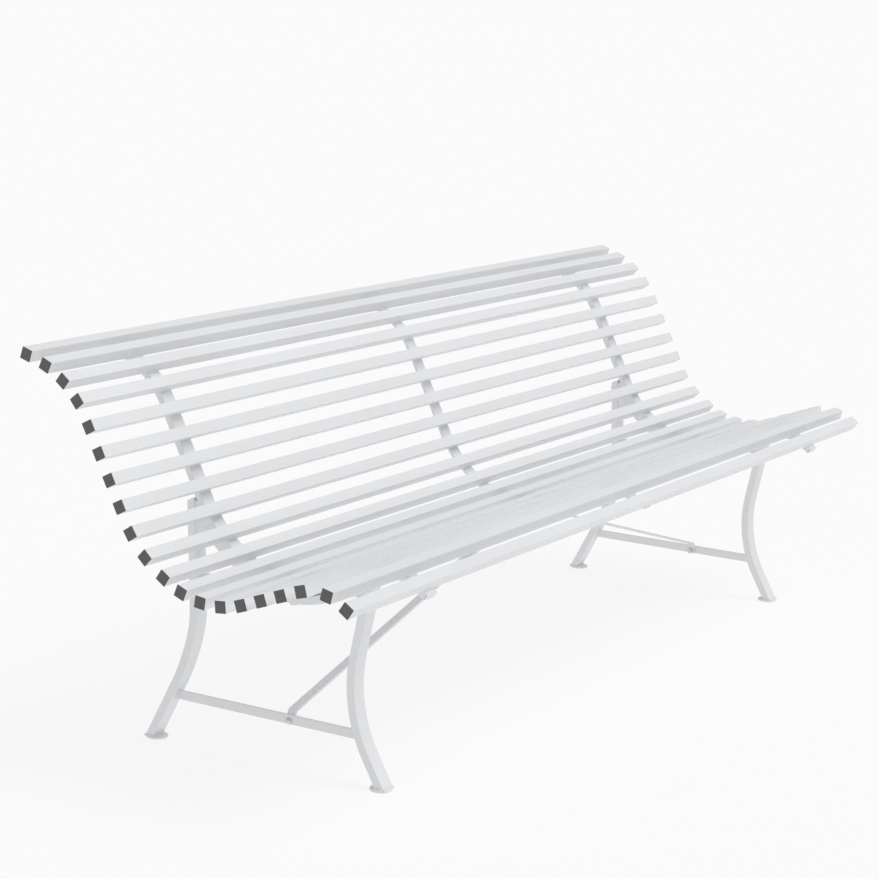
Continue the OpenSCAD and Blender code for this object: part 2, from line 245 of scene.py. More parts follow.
@dataclass(frozen=True)
class SeatProfile:
    """The line on which all slat centres lie, from the top roll to the front nose."""

    top_height: float = 679.75 * MM
    top_slope: float = 17.1
    depth_start: float = 312.948 * MM
    runs: tuple[Run, ...] = (
        Run(22 * MM),
        Run.arc(172 * MM, 45.1),
        Run(175.5 * MM),
        Run.arc(187 * MM, -28.8),
        Run(18.9 * MM),
        Run.arc(167 * MM, -53.8),
        Run(107.5 * MM),
        Run.arc(95 * MM, 53.9),
        Run(60 * MM),
    )
    top_pitch: float = 41.53 * MM
    back_pitch: float = 45.45 * MM
    seat_pitch: float = 39.32 * MM
    nose_pitch: float = 47.78 * MM
    lip_pitch: float = 40.16 * MM
    slat_count: int = 20

    @property
    def line(self) -> BentLine:
        """The bent line itself."""
        return BentLine(Place(self.depth_start, self.top_height, math.radians(self.top_slope)), self.runs)

    def slat_distance(self, index: int) -> float:
        """Gives how far along the line a slat sits.

        Args:
            index: 0 for the top slat, rising towards the front of the seat.

        Returns:
            Distance along the line.
        """
        if index <= 3:
            return index * self.top_pitch
        if index <= 10:
            return self.slat_distance(3) + (index - 3) * self.back_pitch
        if index <= 17:
            return self.slat_distance(10) + (index - 10) * self.seat_pitch
        if index == 18:
            return self.slat_distance(17) + self.nose_pitch
        return self.slat_distance(18) + self.lip_pitch

    @property
    def lowest_distance(self) -> float:
        """Distance along the line of the seat's lowest point, where it is level."""
        turned = self.runs[1].turn + self.runs[3].turn
        level = math.radians(self.top_slope) + turned
        ahead = sum(run.length for run in self.runs[:5])
        return ahead + self.runs[5].length * level / abs(self.runs[5].turn)

    @property
    def lowest(self) -> Place:
        """The seat's lowest point."""
        return self.line.at(self.lowest_distance)


# --- Mesh making ---


@dataclass(frozen=True)
class Section:
    """A rectangle with rounded corners that is swept along a line."""

    across: float
    deep: float
    corner: float
    corner_steps: int = 4

    def outline(self, inset: float = 0.0) -> list[tuple[float, float]]:
        """Lists the outline's points.

        Args:
            inset: How far the outline is drawn in from its full size.

        Returns:
            Points (across, up), anticlockwise.
        """
        half_a = self.across / 2 - inset
        half_d = self.deep / 2 - inset
        radius = max(min(self.corner - inset, half_a * 0.98, half_d * 0.98), 0.05 * MM)
        points = []
        for quarter, (sa, sd) in enumerate(((1, 1), (-1, 1), (-1, -1), (1, -1))):
            for i in range(self.corner_steps + 1):
                angle = math.pi / 2 * (quarter + i / self.corner_steps)
                across = sa * (half_a - radius) + radius * math.cos(angle)
                points.append((across, sd * (half_d - radius) + radius * math.sin(angle)))
        return points


@dataclass(frozen=True)
class Ring:
    """Where a section's outline stands in space."""

    centre: Vector
    across: Vector
    up: Vector

    def points(self, outline: Sequence[tuple[float, float]]) -> list[Vector]:
        """Places an outline's points on the ring's plane."""
        return [self.centre + self.across * a + self.up * b for a, b in outline]


@dataclass(frozen=True)
class Cut:
    """A flat cut through a tube."""

    point: Vector
    normal: Vector

    def slide(self, points: Sequence[Vector], along: Vector) -> list[Vector]:
        """Moves points along a direction until they lie on the cut."""
        reach = along.dot(self.normal)
        return [p + along * ((self.point - p).dot(self.normal) / reach) for p in points]


def around(radius: float, angle: float, level: float) -> Vector:
    """Gives a point at a radius and an angle round the Z axis."""
    return Vector((radius * math.cos(angle), radius * math.sin(angle), level))


class Shaper:
    """Collects swept, turned and folded shapes into one mesh."""

    def __init__(self) -> None:
        """Starts with an empty mesh."""
        self.mesh = bmesh.new()

    def loft(
        self, rings: Sequence[Sequence[Vector]], close_start: bool = True, close_end: bool = True
    ) -> None:
        """Joins rings of points into a skin.

        Args:
            rings: Rings with the same number of points each.
            close_start: Whether the first ring gets a face.
            close_end: Whether the last ring gets a face.
        """
        rows = [[self.mesh.verts.new(p) for p in ring] for ring in rings]
        for here, there in zip(rows, rows[1:]):
            count = len(here)
            for i in range(count):
                j = (i + 1) % count
                self.mesh.faces.new((here[i], here[j], there[j], there[i]))
        if close_start:
            self.mesh.faces.new(rows[0])
        if close_end:
            self.mesh.faces.new(list(reversed(rows[-1])))

    def bar(
        self,
        section: Section,
        stands: Sequence[Ring],
        soft_start: float = 0.0,
        soft_end: float = 0.0,
        start_cut: Optional[Cut] = None,
        end_cut: Optional[Cut] = None,
    ) -> None:
        """Sweeps a section through a list of ring stands.

        Args:
            section: The section to sweep.
            stands: Ring stands from one end to the other.
            soft_start: Size of the rounded edge at the start.
            soft_end: Size of the rounded edge at the end.
            start_cut: Flat cut that ends the sweep at its start.
            end_cut: Flat cut that ends the sweep at its end.
        """
        full = section.outline()
        rings = [stand.points(full) for stand in stands]
        ahead = (stands[1].centre - stands[0].centre).normalized()
        behind = (stands[-2].centre - stands[-1].centre).normalized()
        if start_cut is not None:
            rings[0] = start_cut.slide(rings[0], ahead)
        if end_cut is not None:
            rings[-1] = end_cut.slide(rings[-1], behind)
        if soft_start > 0:
            rings = self._softened(section, stands[0], ahead, soft_start, start_cut) + [
                [p + ahead * soft_start for p in rings[0]],
                *rings[1:],
            ]
        if soft_end > 0:
            tail = self._softened(section, stands[-1], behind, soft_end, end_cut)
            rings = [*rings[:-1], [p + behind * soft_end for p in rings[-1]], *reversed(tail)]
        self.loft(rings)

    @staticmethod
    def _softened(
        section: Section, stand: Ring, inward: Vector, size: float, cut: Optional[Cut]
    ) -> list[list[Vector]]:
        """Makes the rings of a rounded end, from the end face inwards.

        Args:
            section: The swept section.
            stand: The end's ring stand.
            inward: Direction into the bar.
            size: Radius of the rounding.
            cut: The end's flat cut, if it has one.

        Returns:
            Rings that lead from the end face to just before the full section.
        """
        rings = []
        for angle in (0.0, 30.0, 60.0):
            turn = math.radians(angle)
            points = stand.points(section.outline(size * (1 - math.sin(turn))))
            if cut is not None:
                points = cut.slide(points, inward)
            rings.append([p + inward * (size * (1 - math.cos(turn))) for p in points])
        return rings

    def turned(self, profile: Sequence[tuple[float, float]], stand: Matrix, segments: int = 48) -> None:
        """Turns a profile round the stand's Z axis.

        Args:
            profile: Points (radius, height) from the bottom's middle to the top's middle.
            stand: Matrix that places the shape.
            segments: Number of steps round.
        """
        turns = [2 * math.pi * i / segments for i in range(segments)]
        self.loft([[stand @ around(radius, a, height) for a in turns] for radius, height in profile])

    def hexagon(self, flat: float, height: float, stand: Matrix, hole: float = 0.0) -> None:
        """Makes a chamfered hexagon head or nut, standing on the stand's XY plane.

        Args:
            flat: Width across the flats.
            height: Height of the head.
            stand: Matrix that places the shape.
            hole: Radius of a dished recess in the top, for a nut.
        """
        count = 6 * HEX_STEPS
        turns = [2 * math.pi * i / count for i in range(count)]
        rings: list[list[Vector]] = []
        chamfer = height * 0.16
        free = math.inf
        levels = [
            (0.0, flat * 0.49),
            (chamfer * 0.6, free),
            (height - chamfer, free),
            (height, flat * 0.47),
        ]
        for level, limit in levels:
            ring = []
            for angle in turns:
                fold = (angle % (math.pi / 3)) - math.pi / 6
                radius = min(flat / 2 / math.cos(fold), limit)
                drop = 0.0
                if limit == free:
                    over = flat / 2 / math.cos(fold) - flat / 2
                    drop = over * 0.8 if level > height / 2 else -over * 0.4
                ring.append(stand @ around(radius, angle, level - drop))
            rings.append(ring)
        if hole > 0:
            for radius, level in ((hole * 1.15, height), (hole, height - 0.4 * MM), (hole, height * 0.5)):
                rings.append([stand @ around(radius, a, level) for a in turns])
        self.loft(rings)

    def bead(
        self, points: Sequence[Vector], radius: float, ripple: float = 0.12, pitch: float = 1.8 * MM
    ) -> None:
        """Lays a rippled weld bead along a row of points.

        Args:
            points: The bead's centre line.
            radius: Mean radius of the bead.
            ripple: Share of the radius by which the bead swells and thins.
            pitch: Distance between ripples.
        """
        dense = list(_resampled(points, pitch / 4))
        if len(dense) < 3:
            return
        rings = []
        travelled = 0.0
        for i, point in enumerate(dense):
            before = dense[max(i - 1, 0)]
            after = dense[min(i + 1, len(dense) - 1)]
            way = (after - before).normalized()
            side = way.orthogonal().normalized()
            up = way.cross(side)
            travelled += (point - before).length
            swell = 1 + ripple * math.sin(2 * math.pi * travelled / pitch)
            taper = min(1.0, 0.35 + 0.3 * min(i, len(dense) - 1 - i))
            size = radius * swell * taper
            turns = (2 * math.pi * k / BEAD_SIDES for k in range(BEAD_SIDES))
            rings.append([point + side * (size * math.cos(a)) + up * (size * math.sin(a)) for a in turns])
        self.loft(rings)

    def finished(self, name: str) -> bpy.types.Object:
        """Turns the collected shapes into an object with clean normals.

        Args:
            name: Name of the new object.

        Returns:
            The object, linked to the scene.
        """
        bmesh.ops.recalc_face_normals(self.mesh, faces=self.mesh.faces)
        data = bpy.data.meshes.new(name)
        self.mesh.to_mesh(data)
        self.mesh.free()
        data.shade_smooth()
        data.set_sharp_from_angle(angle=SHARP_ANGLE)
        piece = bpy.data.objects.new(name, data)
        bpy.context.scene.collection.objects.link(piece)
        weighted = piece.modifiers.new("even_normals", "WEIGHTED_NORMAL")
        weighted.keep_sharp = True
        return piece


def _resampled(points: Sequence[Vector], step: float) -> Iterator[Vector]:
    """Walks a row of points in even steps.

    Args:
        points: The row to walk.
        step: Distance between the points given back.

    Yields:
        Points along the row.
    """
    yield points[0].copy()
    for a, b in zip(points, points[1:]):
        count = max(1, round((b - a).length / step))
        for i in range(1, count + 1):
            yield a.lerp(b, i / count)


def stand_on(place: Place, off: float, x: float, plane: DrawingPlane, sign: int = 1) -> Ring:
    """Makes a ring stand beside a place of a bent line.

    Args:
        place: A place of the line.
        off: Distance beside the line, behind and below it.
        x: The drawing plane's own position: X for END, Y for FRONT.
        plane: The plane in which the line is drawn.
        sign: 1, or -1 to mirror a line drawn in the FRONT plane.

    Returns:
        The ring stand.
    """
    spot, rise = place.shifted(off), place.above
    if plane is DrawingPlane.END:
        return Ring(Vector((x, spot.u, spot.w)), Vector((1, 0, 0)), rise)
    return Ring(Vector((sign * spot.u, x, spot.w)), Vector((0, 1, 0)), Vector((sign * rise.y, 0, rise.z)))


def level_stand(x: float, y: float, z: float) -> Ring:
    """Makes the ring stand of a level bar that runs from the back to the front."""
    return Ring(Vector((x, y, z)), Vector((1, 0, 0)), Vector((0, 0, 1)))


def slat_stand(profile: SeatProfile, index: int, x: float) -> Ring:
    """Makes the ring stand of a slat.

    Args:
        profile: The profile that the slats follow.
        index: The slat, counted from 0 at the top.
        x: Position along the slat.

    Returns:
        The ring stand, with its first axis towards the next slat.
    """
    place = profile.line.at(profile.slat_distance(index))
    return Ring(Vector((x, place.u, place.w)), -place.backward, place.above)


def axis_stand(origin: Vector, axis: Vector) -> Matrix:
    """Makes a matrix whose Z axis points along an axis from an origin."""
    return Matrix.Translation(origin) @ axis.normalized().to_track_quat("Z", "Y").to_matrix().to_4x4()


# --- Finishes ---


class NodeBoard:
    """Helper that lays out one material's nodes."""

    def __init__(self, name: str) -> None:
        """Makes an empty material with one shader and an output.

        Args:
            name: The material's name.
        """
        self.material = bpy.data.materials.new(name)
        self.material.use_nodes = True
        self.tree = self.material.node_tree
        self.tree.nodes.clear()
        self.shader = self.tree.nodes.new("ShaderNodeBsdfPrincipled")
        output = self.tree.nodes.new("ShaderNodeOutputMaterial")
        self.tree.links.new(self.shader.outputs["BSDF"], output.inputs["Surface"])
        self.place = self.tree.nodes.new("ShaderNodeTexCoord").outputs["Object"]

    def add(self, kind: str, values: dict[str, object]) -> bpy.types.Node:
        """Adds a node and sets some of its sockets."""
        node = self.tree.nodes.new(f"ShaderNode{kind}")
        for socket, value in values.items():
            node.inputs[socket].default_value = value
        return node

    def link(self, source: bpy.types.NodeSocket, target: bpy.types.NodeSocket) -> None:
        """Joins two sockets."""
        self.tree.links.new(source, target)

    def set(self, socket: str, value: object) -> None:
        """Sets one of the shader's own sockets, or links it to another node's socket."""
        if isinstance(value, bpy.types.NodeSocket):
            self.link(value, self.shader.inputs[socket])
        else:
            self.shader.inputs[socket].default_value = value

    def noise(
        self,
        scale: float,
        detail: float = 2.0,
        rough: float = 0.5,
        stretch: tuple[float, float, float] = (1, 1, 1),
    ) -> bpy.types.NodeSocket:
        """Adds a noise texture in object space.

        Args:
            scale: Noise cells per metre.
            detail: Octaves.
            rough: Strength of the finer octaves.
            stretch: Scale of the three axes.

        Returns:
            The noise's value socket.
        """
        source = self.place
        if stretch != (1, 1, 1):
            mapping = self.add("Mapping", {"Scale": stretch})
            self.link(self.place, mapping.inputs["Vector"])
            source = mapping.outputs["Vector"]
        node = self.add("TexNoise", {"Scale": scale, "Detail": detail, "Roughness": rough})
        self.link(source, node.inputs["Vector"])
        return node.outputs["Fac"]

    def remap(
        self, source: bpy.types.NodeSocket, low: float, high: float, start: float = 0.3, stop: float = 0.7
    ) -> bpy.types.NodeSocket:
        """Maps a value from one range to another, clamped.

        Args:
            source: The value.
            low: Result at the range's start.
            high: Result at the range's end.
            start: Start of the range.
            stop: End of the range.

        Returns:
            The mapped value's socket.
        """
        node = self.add("MapRange", {"From Min": start, "From Max": stop, "To Min": low, "To Max": high})
        self.link(source, node.inputs["Value"])
        return node.outputs["Result"]

    def blend(
        self, amount: bpy.types.NodeSocket, first: object, second: Sequence[float]
    ) -> bpy.types.NodeSocket:
        """Mixes two colours.

        Args:
            amount: How much of the second colour shows.
            first: A colour or a colour socket.
            second: The second colour.

        Returns:
            The mixed colour's socket.
        """
        node = self.tree.nodes.new("ShaderNodeMix")
        node.data_type = "RGBA"
        self.link(amount, node.inputs[0])
        if isinstance(first, bpy.types.NodeSocket):
            self.link(first, node.inputs[6])
        else:
            node.inputs[6].default_value = (*first, 1.0)
        node.inputs[7].default_value = (*second, 1.0)
        return node.outputs[2]

    def bump(
        self,
        height: bpy.types.NodeSocket,
        strength: float,
        distance: float,
        under: Optional[bpy.types.NodeSocket] = None,
    ) -> bpy.types.NodeSocket:
        """Adds a bump layer.

        Args:
            height: The bump's height.
            strength: How strongly it tilts the surface.
            distance: Full height, in metres.
            under: A bump that it lies on.

        Returns:
            The bumped normal's socket.
        """
        node = self.add("Bump", {"Strength": strength, "Distance": distance})
        self.link(height, node.inputs["Height"])
        if under is not None:
            self.link(under, node.inputs["Normal"])
        return node.outputs["Normal"]

    def edge_amount(self, start: float, stop: float) -> bpy.types.NodeSocket:
        """Gives 1 on sharp outer edges and 0 on flats."""
        geometry = self.tree.nodes.new("ShaderNodeNewGeometry")
        return self.remap(geometry.outputs["Pointiness"], 0.0, 1.0, start, stop)


@dataclass(frozen=True)
class PowderCoat:
    """White powder coat over welded steel: low sheen, fine orange peel, thin on the edges."""

    name: str = "white_powder_coat"
    colour: tuple[float, float, float] = (0.80, 0.81, 0.825)
    warm: tuple[float, float, float] = (0.775, 0.78, 0.785)
    edge: tuple[float, float, float] = (0.70, 0.705, 0.71)
    peel_per_metre: float = 620.0
    sheen_roughness: tuple[float, float] = (0.36, 0.5)

    def material(self) -> bpy.types.Material:
        """Builds the material."""
        board = NodeBoard(self.name)
        drift = board.remap(board.noise(3.2, 3.0), 0.0, 1.0)
        tone = board.blend(drift, self.colour, self.warm)
        scuffed = board.noise(90.0, 4.0, 0.65)
        wear = self._worn_edges(board, scuffed)
        board.set("Base Color", board.blend(wear, tone, self.edge))
        patches = board.noise(24.0, 3.0)
        board.set("Roughness", board.remap(patches, *self.sheen_roughness))
        peel = board.bump(board.noise(self.peel_per_metre, 1.5, 0.4), 0.16, 0.25 * MM)
        flow = board.bump(board.noise(140.0, 1.0), 0.10, 0.5 * MM, peel)
        board.set("Normal", flow)
        board.set("IOR", 1.5)
        return board.material

    @staticmethod
    def _worn_edges(board: NodeBoard, scuffed: bpy.types.NodeSocket) -> bpy.types.NodeSocket:
        """Shows wear only where an edge meets a scuffed patch.

        Args:
            board: The material's board.
            scuffed: Noise that breaks the wear up.

        Returns:
            The amount of wear.
        """
        multiply = board.tree.nodes.new("ShaderNodeMath")
        multiply.operation = "MULTIPLY"
        board.link(board.edge_amount(0.53, 0.62), multiply.inputs[0])
        board.link(board.remap(scuffed, 0.0, 0.55, 0.5, 0.68), multiply.inputs[1])
        return multiply.outputs["Value"]


@dataclass(frozen=True)
class MouldedPlastic:
    """Dark grey moulded plastic of the slats' end caps, with a fine spark-eroded grain."""

    name: str = "dark_cap_plastic"
    colour: tuple[float, float, float] = (0.088, 0.088, 0.09)
    rubbed: tuple[float, float, float] = (0.16, 0.16, 0.162)

    def material(self) -> bpy.types.Material:
        """Builds the material."""
        board = NodeBoard(self.name)
        cloud = board.remap(board.noise(160.0, 4.0, 0.6), 0.0, 0.32)
        board.set("Base Color", board.blend(cloud, self.colour, self.rubbed))
        board.set("Roughness", board.remap(board.noise(300.0, 2.0), 0.46, 0.62))
        board.set("Normal", board.bump(board.noise(1900.0, 2.0, 0.6), 0.3, 0.12 * MM))
        return board.material


@dataclass(frozen=True)
class BoltMetal:
    """Bright metal of bolts, nuts and inserts, with fine turning marks."""

    name: str
    colour: tuple[float, float, float]
    dull: tuple[float, float, float]
    roughness: tuple[float, float]

    def material(self) -> bpy.types.Material:
        """Builds the material."""
        board = NodeBoard(self.name)
        stain = board.remap(board.noise(220.0, 4.0, 0.6), 0.0, 0.8)
        board.set("Base Color", board.blend(stain, self.colour, self.dull))
        board.set("Metallic", 1.0)
        marks = board.noise(900.0, 3.0, 0.6, (1.0, 1.0, 6.0))
        board.set("Roughness", board.remap(marks, *self.roughness))
        board.set("Normal", board.bump(marks, 0.12, 0.05 * MM))
        return board.material


@dataclass(frozen=True)
class PaleGround:
    """Plain pale studio floor that glows a little, so that shadows stay faint."""

    name: str = "pale_ground"
    colour: tuple[float, float, float] = (0.15, 0.15, 0.151)
    glow: float = 0.82

    def material(self) -> bpy.types.Material:
        """Builds the material."""
        board = NodeBoard(self.name)
        board.set("Base Color", (*self.colour, 1.0))
        board.set("Roughness", 0.9)
        board.set("Specular IOR Level", 0.0)
        board.set("Emission Color", (1.0, 1.0, 1.008, 1.0))
        board.set("Emission Strength", self.glow)
        return board.material


class PaintShop:
    """Makes each finish once and dresses finished pieces with it."""

    def __init__(self) -> None:
        """Builds every finish."""
        zinc = BoltMetal("bright_zinc", (0.66, 0.67, 0.68), (0.5, 0.51, 0.52), (0.3, 0.5))
        stainless = BoltMetal("stainless_steel", (0.7, 0.7, 0.71), (0.56, 0.56, 0.57), (0.2, 0.36))
        self.finishes = {
            Slot.COATED_STEEL: PowderCoat().material(),
            Slot.CAP_PLASTIC: MouldedPlastic().material(),
            Slot.ZINC_STEEL: zinc.material(),
            Slot.BOLT_STEEL: stainless.material(),
        }
        self.count = 0

    def dress(self, shaper: Shaper, name: str, slot: Slot, nodes: Sequence[str] = ()) -> bpy.types.Object:
        """Finishes a shape, puts it on the bench and reports it.

        Args:
            shaper: The collected shape.
            name: The piece's name.
            slot: The material slot that it takes.
            nodes: The frame's nodes that it stands for.

        Returns:
            The finished piece.

        Raises:
            ValueError: If the piece isn't where its nodes are.
        """
        piece = shaper.finished(name)
        piece.data.materials.append(self.finishes[slot])
        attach(piece, BODY)
        off = self._distance_from(piece, nodes) if nodes else 0.0
        if off > BOX_TOLERANCE:
            raise ValueError(f"{name} is {off / MM:.1f} mm off its nodes' box")
        if nodes:
            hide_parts(*nodes)
        self.count += 1
        log.info("%s: %d faces, %.2f mm off its box", name, len(piece.data.polygons), off / MM)
        return piece

    def keep(self, node: str, slot: Slot, bevel: float = 0.5 * MM) -> None:
        """Keeps a node of the frame, with rounded edges and a finish.

        Args:
            node: The node's name.
            slot: The material slot that it takes.
            bevel: Size of the rounded edges.
        """
        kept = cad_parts[node]
        kept.data.materials.clear()
        kept.data.materials.append(self.finishes[slot])
        rounding = kept.modifiers.new("rounded_edges", "BEVEL")
        rounding.width = bevel
        rounding.segments = 2
        rounding.limit_method = "ANGLE"
        rounding.angle_limit = BEVEL_ANGLE
        self.count += 1
        log.info("%s: kept from the frame", node)

    @staticmethod
    def _distance_from(piece: bpy.types.Object, nodes: Sequence[str]) -> float:
        """Measures how far a piece's box is from its nodes' common box.

        Args:
            piece: The piece.
            nodes: The nodes that it stands for.

        Returns:
            The largest distance between matching sides.
        """
        boxes = [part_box(node) for node in nodes]
        low = [min(float(b[0][i]) for b in boxes) for i in range(3)]
        high = [max(float(b[1][i]) for b in boxes) for i in range(3)]
        verts = [v.co for v in piece.data.vertices]
        own_low = [min(v[i] for v in verts) for i in range(3)]
        own_high = [max(v[i] for v in verts) for i in range(3)]
        pairs = zip([*own_low, *own_high], [*low, *high])
        return max(abs(own - wanted) for own, wanted in pairs)


# --- Sub-assemblies ---


@dataclass
class SlatSet:
    """Twenty square tubes with a moulded cap in each end."""

    shop: PaintShop
    profile: SeatProfile
    length: float = 2.0
    section: Section = Section(20 * MM, 20 * MM, 0.8 * MM)
    cap_thick: float = 1 * MM
    cap_edge: float = 0.4 * MM
    joint_line: float = 0.25 * MM
    joint_width: float = 0.22 * MM
    spigot: float = 14 * MM
    spigot_inset: float = 2.2 * MM

    def build(self) -> None:
        """Builds every slat and both rows of caps."""
        for index in range(self.profile.slat_count):
            self._slat(index)
        for side in Side:
            self._caps(side)

    def _slat(self, index: int) -> None:
        """Builds one tube."""
        reach = self.length / 2 - self.cap_thick
        shaper = Shaper()
        marks = (-reach, -reach / 2, 0.0, reach / 2, reach)
        shaper.bar(self.section, [slat_stand(self.profile, index, x) for x in marks])
        self.shop.dress(shaper, f"slat_tube_{index + 1:02d}", Slot.COATED_STEEL, [f"slat_{index + 1:02d}"])

    def _caps(self, side: Side) -> None:
        """Builds one end's caps: a thin joint line, then a plate with a rounded rim."""
        levels = [
            (self.cap_thick + self.spigot, self.spigot_inset),
            (self.cap_thick + 0.02 * MM, self.spigot_inset),
            (self.cap_thick + 0.02 * MM, self.joint_line),
            (self.cap_thick - self.joint_width, self.joint_line),
            (self.cap_thick - 0.35 * MM, 0.0),
            (self.cap_edge, 0.0),
            (self.cap_edge * 0.5, self.cap_edge * 0.134),
            (self.cap_edge * 0.134, self.cap_edge * 0.5),
            (0.0, self.cap_edge),
            (0.0, 3.2 * MM),
        ]
        shaper = Shaper()
        for index in range(self.profile.slat_count):
            rings = []
            for depth, inset in levels:
                stand = slat_stand(self.profile, index, side.value * (self.length / 2 - depth))
                rings.append(stand.points(self.section.outline(inset)))
            shaper.loft(rings)
        self.shop.dress(shaper, f"end_caps_{side.word}", Slot.CAP_PLASTIC, [f"slat_caps_{side.word}"])


@dataclass
class RailSet:
    """Two bent tubular end rails and a flat middle rail, with the slats welded on."""

    shop: PaintShop
    profile: SeatProfile
    end_x: float = 766 * MM
    tube: Section = Section(30 * MM, 12 * MM, 1.2 * MM)
    flat: Section = Section(30 * MM, 5 * MM, 1.0 * MM, 3)
    slat_half: float = 10 * MM
    tail: float = 18 * MM
    middle_tail: float = 4 * MM
    plug_lip: float = 1.5 * MM
    plug_sunk: float = 0.4 * MM
    edge: float = 0.6 * MM
    weld_short: float = 2.2 * MM
    weld: float = 1.7 * MM

    @property
    def end_distance(self) -> float:
        """Distance along the profile at which the rails end."""
        return self.profile.slat_distance(self.profile.slat_count - 1) + self.tail

    def build(self) -> None:
        """Builds the rails, their plugs and the weld beads."""
        plugs = Shaper()
        for side in Side:
            self._tube_rail(side)
            self._plugs(plugs, side)
        self.shop.dress(plugs, "rail_end_plugs", Slot.COATED_STEEL, ["rail_plugs"])
        self._flat_rail()
        for name, x in (("left", -self.end_x), ("middle", 0.0), ("right", self.end_x)):
            self._welds(name, x)

    def _stands(self, x: float, off: float, begin: float, end: float) -> list[Ring]:
        """Lists ring stands along the profile at a distance below the slats' centres."""
        line = self.profile.line
        return [stand_on(line.at(s), off, x, DrawingPlane.END) for s in line.distances(begin, end)]

    def _tube_rail(self, side: Side) -> None:
        """Builds one tubular rail."""
        shaper = Shaper()
        off = self.slat_half + self.tube.deep / 2
        shaper.bar(self.tube, self._stands(side.value * self.end_x, off, 0.0, self.end_distance))
        self.shop.dress(shaper, f"end_rail_{side.word}", Slot.COATED_STEEL, [f"rail_{side.word}"])

    def _plugs(self, shaper: Shaper, side: Side) -> None:
        """Adds the closing plates at both ends of a rail."""
        off = self.slat_half + self.tube.deep / 2
        x = side.value * self.end_x
        for begin, end, soft_start, soft_end in (
            (-self.plug_lip, self.plug_sunk, self.edge, 0.0),
            (self.end_distance - self.plug_sunk, self.end_distance + self.plug_lip, 0.0, self.edge),
        ):
            shaper.bar(self.tube, self._stands(x, off, begin, end), soft_start, soft_end)

    def _flat_rail(self) -> None:
        """Builds the flat middle rail."""
        shaper = Shaper()
        off = self.slat_half + self.flat.deep / 2
        end = self.end_distance - self.tail + self.middle_tail
        shaper.bar(self.flat, self._stands(0.0, off, 0.0, end), self.edge, self.edge)
        self.shop.dress(shaper, "middle_rail", Slot.COATED_STEEL, ["rail_centre"])

    def _welds(self, name: str, x: float) -> None:
        """Lays a bead on each side of every slat where it meets a rail."""
        shaper = Shaper()
        reach = self.tube.across / 2 - self.weld_short
        for index in range(self.profile.slat_count):
            stand = slat_stand(self.profile, index, 0.0)
            for way in (-1, 1):
                if index == 0 and way == -1:
                    continue
                corner = (way * (self.slat_half + 0.2 * MM), -self.slat_half + 0.1 * MM)
                spot = stand.points([corner])[0]
                ends = [spot + Vector((x + a, 0, 0)) for a in (-reach, reach)]
                shaper.bead(ends, self.weld)
        self.shop.dress(shaper, f"slat_welds_{name}", Slot.COATED_STEEL)


